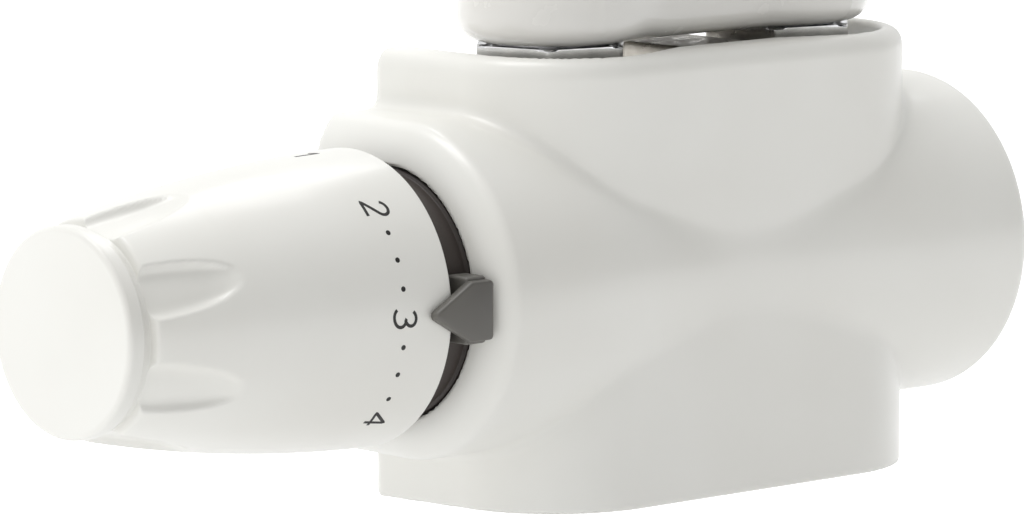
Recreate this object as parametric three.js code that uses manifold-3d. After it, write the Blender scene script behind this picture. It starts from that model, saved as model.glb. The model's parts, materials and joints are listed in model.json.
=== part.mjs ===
// Radiator connection with a thermostatic valve: the lower end of a radiator's connection column, a twin
// valve block under it, a clip-on cover and a thermostatic head. Millimetres, +Z up.
// X runs along the head's axis with the head at -X, -Y is the room side, +Y is the wall side.
// The origin is the middle of the flat top face of the radiator stub.
import * as THREE from "three";
import { mergeVertices } from "three/addons/utils/BufferGeometryUtils.js";
import Module from "manifold-3d";

const wasm = await Module();
wasm.setup();

// ---- driving dimensions ----

const PORT_X = 25; // half of the 50 mm between the radiator's two ports
const AXIS_DROP = 87; // head axis below the radiator face
const GAP = 0.3; // between meshes that touch

// radiator stub, measured from the head axis like everything below
const STUB_BOTTOM = 37;
const COLUMN_R = 15;
const WEB_HALF = 12.5; // half thickness of the web between the columns
const STUB_EDGE_R = 4;
const CHANNEL_R = 8.5;
const PORT_THREAD_R = 10.8;
const PORT_THREAD_DEPTH = 15;

// cover
const COVER_TOP = 36;
const COVER_BOTTOM = -35.5;
const COVER_FRONT = 20.6;
const COVER_REAR = 17;
const COVER_CORNER_R = 20.2;
const COVER_HALF_REAR = 47;
const COVER_HALF = PORT_X + COVER_CORNER_R;
const COVER_WALL = 2.4;
const COVER_TOP_PLATE = 3;
const COVER_EDGE_R = 2.5;
const WAIST_R = 21;
const COLLAR_R = 26.5;
const FLARE_X = 50; // where the flares have grown to the collar radius
const COLLAR_LIP_X = -60.3;
const COLLAR_INNER_X = -57.3;
const COLLAR_HOLE_R = 20;
const COVER_END_X = 57.5;
const TOP_LOBE_R = 15.6;
const TOP_LOBE_Y = -1.5;
const TOP_WEB_Y = -13;
const COVER_PAST_WALL = 8; // the block and collars are drawn this far past the rear and bottom, then cut

// thermostatic head
const SKIRT_X = -67;
const SKIRT_R = 23.3;
const CROWN_X = -121.6;
const CROWN_R = 16.5;
const WHEEL_BULGE = 1.45; // how far the side stands out from a straight cone at its middle
const WHEEL_WALL = 2.2;
const WHEEL_FRONT_WALL = 2.8;
const WHEEL_RIB_X = [-88, -84]; // the rib that carries the wheel's inner thread
const FLUTES = 7;
const FLUTE_R = 10;
const FLUTE_END_X = -105;
const FLUTE_DEPTH = 1.2;
const CAP_X = -125;
const CAP_R = 16.2;
const CAP_STEM_R = 9.4;
const CAP_STEM_X = -117.5;
const CAP_BACK_X = -122;
const BASE_R = 19.2;
const BASE_THREAD_R = 16.6;
const BASE_BORE_R = 14.5;
const SENSOR_R = 13.2;
const PUSH_PIN_R = 2.2;
const POINTER_FACE_R = 24.9;
const POINTER_TIP_X = -73.2;
const POINTER_SHOULDER_X = -64.8;
const POINTER_REAR_X = -60.6;
const POINTER_HALF = 4.6;
const POINTER_LEG_HALF = 5.2;
const POINTER_LEG_FOOT = 17; // distance of the leg's foot from the axis

// valve block
const BARREL_R = 13;
const BARREL_HALF = 38;
const NECK_R = 15;
const NECK_X = -47.3;
const NECK_END_X = -41.6; // the neck stops short of the union nut
const BONNET_NECK_R = 11;
const BONNET_NECK_X = 45.6;
const LEG_TOP = 19;
const LEG_R = 12.6;
const LOWER_Z = -21; // height of the rear ports and the passage to them
const REAR_PORT_Y = 34;
const REAR_PORT_R = 13.2;
const REAR_ARM_R = 11.5;
const REAR_ARM_ROUND = 3;
const REAR_PORT_LENGTH = 12;
const REAR_BORE_R = 7.5;
const INSERT_BORE_R = 11.3;
const BONNET_BORE_R = 8;
const SEAT_X = 17.5; // distance of both seats from the block's middle
const SEAT_R = 5.5;
const SEAT_LENGTH = 5;
const INNER_WALL_X = 4; // half of the wall between the supply and the return side
const PASSAGE_R = 4.5;
const PASSAGE_WALL = 3;

// fittings
const NIPPLE_BORE_R = 7;
const NIPPLE_AF = 23;
const UNION_AF = 28;
const UNION_CHAMFER_R = [15, 16.4];
const SPACER_X = 8; // half width of the block between the union nuts
const SPACER_Y = 12;
const SPACER_TOP = 35.5;
const SPINDLE_R = 1.6;
const SPINDLE_BORE_R = 2;
const SHUTOFF_R = 3;

// ---- colours ----

function finish(color, roughness, metalness) {
  return new THREE.MeshStandardMaterial({ color, roughness, metalness });
}
const WHITE_ENAMEL = finish(0xf1efe9, 0.25, 0);
const WHITE_PLASTIC = finish(0xefece5, 0.35, 0);
const DARK_PLASTIC = finish(0x3a3432, 0.6, 0);
const GREY_PLASTIC = finish(0x6b6862, 0.5, 0);
const CHROME = finish(0xd8d8d6, 0.12, 1);
const NICKEL = finish(0xb9b4a8, 0.35, 1);
const BRASS = finish(0xb5924c, 0.35, 1);
const STEEL = finish(0xa8a9ab, 0.3, 1);
const RUBBER = finish(0x1c1c1c, 0.8, 0);
const COPPER = finish(0xb8734a, 0.35, 1);

// ---- making solids ----

// A closed geometry as a solid: vertices merged, faces without area left out, faces turned outwards.
function solid(geometry) {
  const bare = new THREE.BufferGeometry();
  bare.setAttribute("position", geometry.getAttribute("position"));
  bare.setIndex(geometry.index);
  const merged = mergeVertices(bare, 1e-4);
  const points = merged.getAttribute("position").array;
  const corner = (i) => new THREE.Vector3().fromArray(points, i * 3);
  const faces = [];
  let volume = 0;
  for (let i = 0; i < merged.index.count; i += 3) {
    const [a, b, c] = merged.index.array.slice(i, i + 3);
    if (a === b || b === c || c === a) continue;
    faces.push([a, b, c]);
    volume += corner(a).dot(corner(b).cross(corner(c)));
  }
  const triVerts = new Uint32Array((volume < 0 ? faces.map(([a, b, c]) => [a, c, b]) : faces).flat());
  return new wasm.Manifold(new wasm.Mesh({ numProp: 3, vertProperties: points, triVerts }));
}

// The union of several solids.
const join = (...solids) => solids.reduce((whole, piece) => whole.add(piece));

// One solid with several others cut away.
const cut = (body, ...tools) => tools.reduce((left, tool) => left.subtract(tool), body);

function toGeometry(body) {
  const { vertProperties, triVerts } = body.getMesh();
  const geometry = new THREE.BufferGeometry();
  geometry.setAttribute("position", new THREE.BufferAttribute(vertProperties, 3));
  geometry.setIndex(new THREE.BufferAttribute(triVerts, 1));
  return geometry;
}

// A profile of [height, radius] pairs turned about Z; turnedX and turnedY lay the same shape on X or Y.
function turnedZ(profile, sides = 32) {
  const points = profile.map(([height, radius]) => new THREE.Vector2(radius, height));
  return new THREE.LatheGeometry(points, sides).rotateX(Math.PI / 2);
}
const turnedX = (profile, sides) => turnedZ(profile, sides).rotateY(Math.PI / 2);
const turnedY = (profile, sides) => turnedZ(profile, sides).rotateX(-Math.PI / 2);

// Profiles for the turned shapes.
const rod = (from, to, radius) => [[from, 0], [from, radius], [to, radius], [to, 0]];
const tube = (from, to, inner, outer) => [
  [from, inner], [from, outer], [to, outer], [to, inner], [from, inner],
];

function torus({ x, radius, section }, steps = 6) {
  const profile = Array.from({ length: steps }, (_, i) => {
    const turn = (i / steps) * 2 * Math.PI;
    return [x + section * Math.cos(turn), radius + section * Math.sin(turn)];
  });
  return [...profile, profile[0]];
}

const rodX = (from, to, radius, sides) => solid(turnedX(rod(from, to, radius), sides));
const rodZ = (from, to, radius, sides) => solid(turnedZ(rod(from, to, radius), sides));

function box(x0, x1, y0, y1, z0, z1) {
  const block = new THREE.BoxGeometry(x1 - x0, y1 - y0, z1 - z0);
  return block.translate((x0 + x1) / 2, (y0 + y1) / 2, (z0 + z1) / 2);
}

// A hexagonal bar along Z, with a flat facing Y.
function hexagon(acrossFlats, from, to) {
  const radius = acrossFlats / Math.sqrt(3);
  const bar = new THREE.CylinderGeometry(radius, radius, to - from, 6);
  return bar.rotateX(Math.PI / 2).rotateZ(Math.PI / 6).translate(0, 0, (from + to) / 2);
}

// A helical spring along X from one x to the other.
function coilSpring(from, to, { radius, wire, turns }) {
  class Helix extends THREE.Curve {
    getPoint(t, target = new THREE.Vector3()) {
      const angle = 2 * Math.PI * turns * t;
      const x = from + wire + (to - from - 2 * wire) * t;
      return target.set(x, radius * Math.cos(angle), radius * Math.sin(angle));
    }
  }
  const section = new THREE.Shape().absarc(0, 0, wire, 0, 2 * Math.PI);
  return new THREE.ExtrudeGeometry(section, {
    steps: Math.round(turns * 12),
    curveSegments: 3,
    bevelEnabled: false,
    extrudePath: new Helix(),
  });
}

// ---- the assembly ----

const assembly = new THREE.Group();
const fitting = new THREE.Group(); // its origin is where the head axis meets the middle of the valve
fitting.position.z = -AXIS_DROP;
assembly.add(fitting);

function place(name, body, material, x = 0, y = 0, z = 0) {
  const mesh = new THREE.Mesh(toGeometry(body), material);
  mesh.name = name;
  mesh.position.set(x, y, z);
  fitting.add(mesh);
}

const SIDES = [["left", -1], ["right", 1]];

// ---- radiator stub ----

function radiatorStub() {
  const meet = Math.asin(WEB_HALF / COLUMN_R);
  const plan = new THREE.Shape();
  plan.absarc(PORT_X, 0, COLUMN_R, meet - Math.PI, Math.PI - meet);
  plan.absarc(-PORT_X, 0, COLUMN_R, meet, 2 * Math.PI - meet);
  const height = AXIS_DROP - STUB_BOTTOM;
  const column = new THREE.ExtrudeGeometry(plan, {
    depth: height,
    curveSegments: 16,
    bevelSize: STUB_EDGE_R,
    bevelThickness: STUB_EDGE_R,
    bevelOffset: -STUB_EDGE_R,
    bevelSegments: 3,
  });
  const above = box(-2 * PORT_X, 2 * PORT_X, -2 * COLUMN_R, 2 * COLUMN_R, AXIS_DROP, AXIS_DROP + height);
  const foot = STUB_BOTTOM - 1;
  const channels = SIDES.flatMap(([, side]) => [
    rodZ(foot, AXIS_DROP + 1, CHANNEL_R, 32).translate([side * PORT_X, 0, 0]),
    rodZ(foot, STUB_BOTTOM + PORT_THREAD_DEPTH, PORT_THREAD_R, 32).translate([side * PORT_X, 0, 0]),
  ]);
  return cut(solid(column.translate(0, 0, STUB_BOTTOM + STUB_EDGE_R)), solid(above), ...channels);
}

place("radiator_stub", radiatorStub(), WHITE_ENAMEL);

// ---- unions between the radiator and the valve ----

const GASKET_TOP = LEG_TOP + 1.9;
const GASKET_R = [8, 12];
const NIPPLE_FOOT = GASKET_TOP + GAP;
const NIPPLE_FLANGE_R = 12.2;
const NIPPLE_FLANGE_TOP = NIPPLE_FOOT + 2.8;
const NIPPLE_TUBE_R = 9.3;
const NIPPLE_HEX_Z = 29.5;
const NIPPLE_THREAD_R = 10.4;
const NUT_BOTTOM = BARREL_R + 0.6;
const NUT_TOP = NIPPLE_FLANGE_TOP + GAP + 3.2;
const NUT_LIP_R = NIPPLE_TUBE_R + 0.4;

function nipple() {
  const top = STUB_BOTTOM + PORT_THREAD_DEPTH - 1;
  const flange = rodZ(NIPPLE_FOOT, NIPPLE_FLANGE_TOP, NIPPLE_FLANGE_R, 32);
  const neck = rodZ(NIPPLE_FOOT, top, NIPPLE_TUBE_R, 32);
  const hex = solid(hexagon(NIPPLE_AF, NIPPLE_HEX_Z, STUB_BOTTOM - GAP));
  const thread = rodZ(STUB_BOTTOM - GAP - 1, top, NIPPLE_THREAD_R, 32);
  return cut(join(flange, neck, hex, thread), rodZ(NIPPLE_FOOT - 1, top + 1, NIPPLE_BORE_R, 32));
}

function unionNut() {
  const bore = rodZ(NUT_BOTTOM - 1, NIPPLE_FLANGE_TOP + GAP, LEG_R + GAP, 32);
  const lip = rodZ(NUT_BOTTOM, NUT_TOP + 1, NUT_LIP_R, 32);
  const [edge, full] = UNION_CHAMFER_R;
  const chamfer = turnedZ([
    [NUT_BOTTOM, 0], [NUT_BOTTOM, edge], [NUT_BOTTOM + 1, full],
    [NUT_TOP - 1, full], [NUT_TOP, edge], [NUT_TOP, 0],
  ], 32);
  const hex = solid(hexagon(UNION_AF, NUT_BOTTOM, NUT_TOP)).intersect(solid(chamfer));
  return cut(hex, bore, lip);
}

for (const [name, side] of SIDES) {
  const x = side * PORT_X;
  place(`radiator_nipple_${name}`, nipple(), CHROME, x);
  place(`union_nut_${name}`, unionNut(), CHROME, x);
  place(`union_gasket_${name}`, solid(turnedZ(tube(LEG_TOP + GAP, GASKET_TOP, ...GASKET_R), 32)), RUBBER, x);
}

const spacer = box(-SPACER_X, SPACER_X, -SPACER_Y, SPACER_Y, BARREL_R + GAP, SPACER_TOP);
place("union_spacer", solid(spacer), NICKEL);

// ---- valve block ----

// One side's rear arm and port, along Y.
function rearArm() {
  const neck = REAR_PORT_Y - REAR_PORT_LENGTH;
  return solid(turnedY([
    [-REAR_ARM_R, 0], [-REAR_ARM_R, REAR_ARM_R - REAR_ARM_ROUND], [-REAR_ARM_R + REAR_ARM_ROUND, REAR_ARM_R],
    [neck, REAR_ARM_R], [neck, REAR_PORT_R], [REAR_PORT_Y, REAR_PORT_R], [REAR_PORT_Y, 0],
  ]));
}

function valveBlock() {
  const duct = PASSAGE_R + PASSAGE_WALL;
  const body = [
    rodX(NECK_END_X - 1, BARREL_HALF, BARREL_R),
    rodX(NECK_X, NECK_END_X, NECK_R),
    rodX(BARREL_HALF - 1, BONNET_NECK_X, BONNET_NECK_R),
    rodX(-PORT_X, PORT_X, duct, 32).translate([0, 0, LOWER_Z]),
  ];
  const bores = [
    rodX(NECK_X - 1, -SEAT_X, INSERT_BORE_R),
    rodX(SEAT_X, BONNET_NECK_X + 1, BONNET_BORE_R, 32),
  ];
  for (const [, side] of SIDES) {
    const x = side * PORT_X;
    const seat = [side * SEAT_X, side * INNER_WALL_X].sort((a, b) => a - b);
    const chamberX = (side * (INNER_WALL_X + SEAT_X - SEAT_LENGTH)) / 2;
    body.push(
      rodZ(LOWER_Z, LEG_TOP, LEG_R).translate([x, 0, 0]),
      rearArm().translate([x, 0, LOWER_Z]),
      solid(box(chamberX - duct, chamberX + duct, -duct, duct, LOWER_Z, 0)),
    );
    bores.push(
      rodZ(0, LEG_TOP + 1, BONNET_BORE_R, 32).translate([x, 0, 0]),
      solid(turnedY(rod(0, REAR_PORT_Y + 1, REAR_BORE_R), 32)).translate([x, 0, LOWER_Z]),
      rodX(...seat, SEAT_R, 32),
      rodZ(LOWER_Z, 0, PASSAGE_R, 24).translate([chamberX, 0, 0]),
      rodX(Math.min(x, chamberX), Math.max(x, chamberX), PASSAGE_R, 24).translate([0, 0, LOWER_Z]),
    );
  }
  return cut(join(...body), ...bores);
}

place("valve_block", valveBlock(), NICKEL);

// ---- thermostatic insert ----

const INSERT_INNER_X = -36;
const INSERT_COLLAR_X = -50.5;
const INSERT_COLLAR_R = 8.5;
const INSERT_NOSE_R = 5.5;
const INSERT_R = INSERT_BORE_R - GAP;
const GLAND_X = -54;
const GLAND_AF = 9;
const GLAND_HEIGHT = 2;
const SPINDLE_TIP_X = -58.2;
const HOLDER_X = -24;
const HOLDER_R = 6;
const HOLDER_END_X = -22;
const DISC_X = HOLDER_END_X + GAP;
const DISC_R = 6.8;
const DISC_END_X = -19.6;
const RETURN_SPRING = { radius: 4.8, wire: 0.5, turns: 4 };
const O_RING = { x: -40, radius: 10.35, section: 0.65 };
const O_RING_GROOVE_HALF = 1.2;
const O_RING_GROOVE_R = 9.4;

const insertBody = solid(turnedX([
  [GLAND_X, SPINDLE_BORE_R], [GLAND_X, INSERT_NOSE_R], [INSERT_COLLAR_X, INSERT_NOSE_R],
  [INSERT_COLLAR_X, INSERT_COLLAR_R], [NECK_X, INSERT_COLLAR_R], [NECK_X, INSERT_R],
  [O_RING.x - O_RING_GROOVE_HALF, INSERT_R], [O_RING.x - O_RING_GROOVE_HALF, O_RING_GROOVE_R],
  [O_RING.x + O_RING_GROOVE_HALF, O_RING_GROOVE_R], [O_RING.x + O_RING_GROOVE_HALF, INSERT_R],
  [INSERT_INNER_X, INSERT_R], [INSERT_INNER_X, SPINDLE_BORE_R], [GLAND_X, SPINDLE_BORE_R],
], 32));
const glandNut = cut(
  solid(hexagon(GLAND_AF, GLAND_X - GAP - GLAND_HEIGHT, GLAND_X - GAP).rotateY(Math.PI / 2)),
  rodX(GLAND_X - GAP - GLAND_HEIGHT - 1, GLAND_X, SPINDLE_BORE_R, 24),
);
const returnSpring = coilSpring(INSERT_INNER_X + GAP, HOLDER_X - GAP, RETURN_SPRING);

place("insert_body", insertBody, BRASS);
place("insert_o_ring", solid(turnedX(torus(O_RING), 32)), RUBBER);
place("gland_nut", glandNut, BRASS);
place("spindle", rodX(SPINDLE_TIP_X, HOLDER_X - GAP, SPINDLE_R, 20), STEEL);
place("disc_holder", rodX(HOLDER_X, HOLDER_END_X, HOLDER_R, 32), BRASS);
place("valve_disc", rodX(DISC_X, DISC_END_X, DISC_R, 32), RUBBER);
place("return_spring", solid(returnSpring), STEEL);

// ---- shut-off side ----

const BONNET_INNER_X = 34;
const BONNET_R = BONNET_BORE_R - GAP;
const BONNET_HEX_X = BONNET_NECK_X + GAP;
const BONNET_HEX_AF = 17;
const BONNET_END_X = 50;
const BONNET_RING = { x: 40, radius: 7.15, section: 0.5 };
const BONNET_GROOVE_HALF = 1;
const BONNET_GROOVE_R = 6.3;
const CONE_X = 19.8;
const CONE_SEAT_X = 21.2;
const CONE_END_X = 22.8;
const CONE_TIP_R = 4.4;
const CONE_R = 6.6;
const SHUTOFF_END_X = 51.4;
const SOCKET_AF = 3;
const SOCKET_DEPTH = 3;
const SHUTOFF_CAP_R = 13.2;
const CAP_EDGE = 0.8;
const SHUTOFF_CAP_X = BARREL_HALF + 2;
const SHUTOFF_CAP_INNER_X = SHUTOFF_END_X + 0.8;
const SHUTOFF_CAP_END_X = COVER_END_X - 3.1;

const bonnetBarrel = solid(turnedX([
  [BONNET_INNER_X, 0], [BONNET_INNER_X, BONNET_R],
  [BONNET_RING.x - BONNET_GROOVE_HALF, BONNET_R], [BONNET_RING.x - BONNET_GROOVE_HALF, BONNET_GROOVE_R],
  [BONNET_RING.x + BONNET_GROOVE_HALF, BONNET_GROOVE_R], [BONNET_RING.x + BONNET_GROOVE_HALF, BONNET_R],
  [BONNET_END_X, BONNET_R], [BONNET_END_X, 0],
], 32));
const bonnet = cut(
  join(bonnetBarrel, solid(hexagon(BONNET_HEX_AF, BONNET_HEX_X, BONNET_END_X).rotateY(Math.PI / 2))),
  rodX(BONNET_INNER_X - 1, BONNET_END_X + 1, SHUTOFF_R + GAP, 24),
);
const shutoffSpindle = cut(
  rodX(CONE_END_X + GAP, SHUTOFF_END_X, SHUTOFF_R, 24),
  solid(hexagon(SOCKET_AF, SHUTOFF_END_X - SOCKET_DEPTH, SHUTOFF_END_X + 1).rotateY(Math.PI / 2)),
);
const shutoffCone = solid(turnedX([
  [CONE_X, 0], [CONE_X, CONE_TIP_R], [CONE_SEAT_X, CONE_R], [CONE_END_X, CONE_R], [CONE_END_X, 0],
], 32));
const shutoffCap = solid(turnedX([
  [SHUTOFF_CAP_INNER_X, 0], [SHUTOFF_CAP_INNER_X, BONNET_NECK_R + GAP], [SHUTOFF_CAP_X, BONNET_NECK_R + GAP],
  [SHUTOFF_CAP_X, SHUTOFF_CAP_R], [SHUTOFF_CAP_END_X - CAP_EDGE, SHUTOFF_CAP_R],
  [SHUTOFF_CAP_END_X, SHUTOFF_CAP_R - CAP_EDGE], [SHUTOFF_CAP_END_X, 0],
]));

place("shutoff_bonnet", bonnet, BRASS);
place("shutoff_o_ring", solid(turnedX(torus(BONNET_RING), 32)), RUBBER);
place("shutoff_spindle", shutoffSpindle, BRASS);
place("shutoff_cone", shutoffCone, BRASS);
place("shutoff_cap", shutoffCap, NICKEL);

// ---- head base, its nut and the pointer ----

const HEAD_NUT_X = -52.6;
const HEAD_NUT_LIP_X = -50.5;
const HEAD_NUT_LIP_R = 12.8;
const HEAD_NUT_END_X = -42;
const HEAD_NUT_R = 18.2;
const HEAD_NUT_EDGE = 0.8;
const BASE_END_X = -90.5;
const BASE_THREAD_X = -72.4;
const BASE_FLANGE_X = -56.5; // from here the base narrows to its foot
const BASE_NECK_X = -54.5;
const BASE_NECK_R = 17.6;
const BASE_STEP_X = -53;
const BASE_STEP_R = 12.4;
const BASE_FOOT_R = 14.4;
const BASE_FOOT_X = NECK_X - GAP - 0.2;
const BASE_FLOOR_X = -55.5;
const BASE_FLOOR_R = 9.4;
const KNURLS = 20;
const KNURL_R = 0.7;

const headBase = solid(turnedX([
  [BASE_END_X, BASE_BORE_R], [BASE_END_X, BASE_THREAD_R], [BASE_THREAD_X, BASE_THREAD_R],
  [BASE_THREAD_X, BASE_R], [BASE_FLANGE_X, BASE_R], [BASE_NECK_X, BASE_NECK_R],
  [BASE_STEP_X, BASE_NECK_R], [BASE_STEP_X, BASE_STEP_R],
  [HEAD_NUT_LIP_X + GAP, BASE_STEP_R], [HEAD_NUT_LIP_X + GAP, BASE_FOOT_R], [BASE_FOOT_X, BASE_FOOT_R],
  [BASE_FOOT_X, BASE_FLOOR_R], [BASE_FLOOR_X, BASE_FLOOR_R], [BASE_FLOOR_X, BASE_BORE_R],
  [BASE_END_X, BASE_BORE_R],
]));
const headNutRing = solid(turnedX([
  [HEAD_NUT_X, HEAD_NUT_LIP_R], [HEAD_NUT_X, HEAD_NUT_R - HEAD_NUT_EDGE],
  [HEAD_NUT_X + HEAD_NUT_EDGE, HEAD_NUT_R],
  [HEAD_NUT_END_X - HEAD_NUT_EDGE, HEAD_NUT_R], [HEAD_NUT_END_X, HEAD_NUT_R - HEAD_NUT_EDGE],
  [HEAD_NUT_END_X, NECK_R + GAP], [HEAD_NUT_LIP_X, NECK_R + GAP], [HEAD_NUT_LIP_X, HEAD_NUT_LIP_R],
  [HEAD_NUT_X, HEAD_NUT_LIP_R],
], 40));
const knurlCuts = Array.from({ length: KNURLS }, (_, i) => {
  const angle = (i / KNURLS) * 2 * Math.PI;
  const groove = rodX(HEAD_NUT_X - 1, HEAD_NUT_END_X + 1, KNURL_R, 6);
  return groove.translate([0, HEAD_NUT_R * Math.cos(angle), HEAD_NUT_R * Math.sin(angle)]);
});

function settingPointer() {
  const outline = new THREE.Shape();
  outline.moveTo(POINTER_TIP_X, 0);
  outline.lineTo(POINTER_SHOULDER_X, -POINTER_HALF);
  outline.lineTo(POINTER_REAR_X, -POINTER_HALF);
  outline.lineTo(POINTER_REAR_X, POINTER_HALF);
  outline.lineTo(POINTER_SHOULDER_X, POINTER_HALF);
  outline.closePath();
  const thickness = POINTER_FACE_R - SKIRT_R - GAP;
  const plate = new THREE.ExtrudeGeometry(outline, { depth: thickness, bevelEnabled: false });
  plate.rotateX(Math.PI / 2).translate(0, thickness - POINTER_FACE_R, 0);
  const legTop = SKIRT_R + 2 * GAP;
  const leg = box(
    POINTER_SHOULDER_X, POINTER_REAR_X, -legTop, -POINTER_LEG_FOOT, -POINTER_LEG_HALF, POINTER_LEG_HALF,
  );
  return cut(join(solid(plate), solid(leg)), rodX(POINTER_TIP_X, POINTER_REAR_X + 1, BASE_R + GAP));
}

place("head_base", headBase, DARK_PLASTIC);
place("head_nut", cut(headNutRing, ...knurlCuts), CHROME);
place("setting_pointer", settingPointer(), GREY_PLASTIC);

// ---- sensor inside the head ----

const SENSOR_X = -116;
const SENSOR_END_X = -94;
const SENSOR_EDGE = 1.5;
const SENSOR_STEM_X = -86;
const SENSOR_STEM_R = 4.5;
const CUP_X = -80;
const CUP_FLOOR_X = -78.5;
const CUP_END_X = -76;
const CUP_R = 11;
const CUP_WALL = 1.5;
const OVERLOAD_SPRING = { radius: 7, wire: 0.7, turns: 4 };

const sensor = solid(turnedX([
  [SENSOR_X, 0], [SENSOR_X, SENSOR_R - SENSOR_EDGE], [SENSOR_X + SENSOR_EDGE, SENSOR_R],
  [SENSOR_END_X - SENSOR_EDGE, SENSOR_R], [SENSOR_END_X, SENSOR_R - SENSOR_EDGE],
  [SENSOR_END_X, SENSOR_STEM_R], [SENSOR_STEM_X, SENSOR_STEM_R], [SENSOR_STEM_X, 0],
]));
const springCup = solid(turnedX([
  [CUP_X, 0], [CUP_X, CUP_R], [CUP_END_X, CUP_R], [CUP_END_X, CUP_R - CUP_WALL],
  [CUP_FLOOR_X, CUP_R - CUP_WALL], [CUP_FLOOR_X, 0],
], 32));

place("sensor_element", sensor, COPPER);
place("overload_spring", solid(coilSpring(SENSOR_END_X + GAP, CUP_X - GAP, OVERLOAD_SPRING)), STEEL);
place("spring_cup", springCup, STEEL);
place("push_pin", rodX(CUP_FLOOR_X + GAP, SPINDLE_TIP_X - GAP, PUSH_PIN_R, 20), WHITE_PLASTIC);

// ---- handwheel and end cap ----

function wheelRadius(x) {
  const along = (x - CROWN_X) / (SKIRT_X - CROWN_X);
  return CROWN_R + (SKIRT_R - CROWN_R) * along + 4 * WHEEL_BULGE * along * (1 - along);
}

function stations(from, to, count) {
  return Array.from({ length: count + 1 }, (_, i) => from + ((to - from) * i) / count);
}

function handwheel() {
  const frontWallX = CROWN_X + WHEEL_FRONT_WALL;
  const [ribFrom, ribTo] = WHEEL_RIB_X;
  const outside = stations(CROWN_X + 1, SKIRT_X, 7).map((x) => [x, wheelRadius(x)]);
  const innerNear = stations(SKIRT_X, ribTo, 2).map((x) => [x, wheelRadius(x) - WHEEL_WALL]);
  const innerFar = stations(ribFrom, frontWallX, 4).map((x) => [x, wheelRadius(x) - WHEEL_WALL]);
  const hole = CAP_STEM_R + GAP + 0.1;
  const rib = BASE_THREAD_R + GAP;
  const shell = solid(turnedX([
    [CROWN_X, hole], [CROWN_X, CROWN_R - 1], ...outside, ...innerNear, [ribTo, rib], [ribFrom, rib],
    ...innerFar, [frontWallX, hole], [CROWN_X, hole],
  ], 42));
  const bottomStart = wheelRadius(CROWN_X) - FLUTE_DEPTH;
  const slope = Math.atan2(wheelRadius(FLUTE_END_X) - bottomStart, FLUTE_END_X - CROWN_X);
  const flutes = Array.from({ length: FLUTES }, (_, i) => {
    const groove = new THREE.CylinderGeometry(FLUTE_R, FLUTE_R, 2 * (FLUTE_END_X - CROWN_X), 28);
    groove.rotateZ(Math.PI / 2).translate(0, -FLUTE_R, 0).rotateZ(-slope).translate(CROWN_X, -bottomStart, 0);
    return solid(groove.rotateX(((i + 0.5) / FLUTES) * 2 * Math.PI));
  });
  return cut(shell, ...flutes);
}

const endCap = solid(turnedX([
  [CAP_X, 0], [CAP_X, CAP_R - 1.6], [CAP_X + 0.5, CAP_R - 0.5], [CAP_X + 1.4, CAP_R],
  [CAP_BACK_X - 0.5, CAP_R], [CAP_BACK_X, CAP_R - 0.6], [CAP_BACK_X, CAP_STEM_R],
  [CAP_STEM_X, CAP_STEM_R], [CAP_STEM_X, 0],
], 42));

place("handwheel", handwheel(), WHITE_PLASTIC);
place("end_cap", endCap, WHITE_PLASTIC);

// ---- cover ----

function flareRadius(x) {
  const along = Math.min(Math.abs(x) / FLARE_X, 1);
  return WAIST_R + ((COLLAR_R - WAIST_R) * (1 - Math.cos(Math.PI * along))) / 2;
}

// The block of the cover seen from above, shrunk by inset on every side but the wall side.
function coverPlan(inset) {
  const rear = COVER_REAR + COVER_PAST_WALL;
  const lean = (COVER_HALF_REAR - COVER_HALF) / COVER_REAR;
  const rearHalf = COVER_HALF_REAR + lean * COVER_PAST_WALL - inset;
  const radius = COVER_CORNER_R - inset;
  const centreY = COVER_CORNER_R - COVER_FRONT;
  const plan = new THREE.Shape();
  plan.absarc(-PORT_X, centreY, radius, Math.PI, 1.5 * Math.PI);
  plan.absarc(PORT_X, centreY, radius, 1.5 * Math.PI, 2 * Math.PI);
  plan.lineTo(rearHalf, rear);
  plan.lineTo(-rearHalf, rear);
  return plan;
}

// A profile of [x, radius] turned about X on the room side and run straight back on the wall side.
function horseshoe(profile) {
  const side = new THREE.Shape();
  profile.forEach(([x, radius], i) => (i ? side.lineTo(x, radius) : side.moveTo(x, radius)));
  [...profile].reverse().forEach(([x, radius]) => side.lineTo(x, -radius));
  const depth = COVER_REAR + COVER_PAST_WALL;
  const rear = new THREE.ExtrudeGeometry(side, { depth, bevelEnabled: false }).rotateX(Math.PI / 2);
  const closed = [[profile[0][0], 0], ...profile, [profile[profile.length - 1][0], 0]];
  return join(solid(turnedX(closed, 56)), solid(rear.translate(0, depth, 0)));
}

// The opening in the cover's top for the unions, open towards the wall.
function coverTopHole() {
  const top = COVER_TOP + 1;
  const rear = COVER_REAR + COVER_PAST_WALL;
  const lobe = rodZ(0, top, TOP_LOBE_R, 40);
  const lobes = SIDES.map(([, side]) => lobe.translate([side * PORT_X, TOP_LOBE_Y, 0]));
  const web = box(-PORT_X, PORT_X, TOP_WEB_Y, rear, 0, top);
  const wallSide = box(-PORT_X - TOP_LOBE_R, PORT_X + TOP_LOBE_R, TOP_LOBE_Y, rear, 0, top);
  return join(...lobes, solid(web), solid(wallSide));
}

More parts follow.
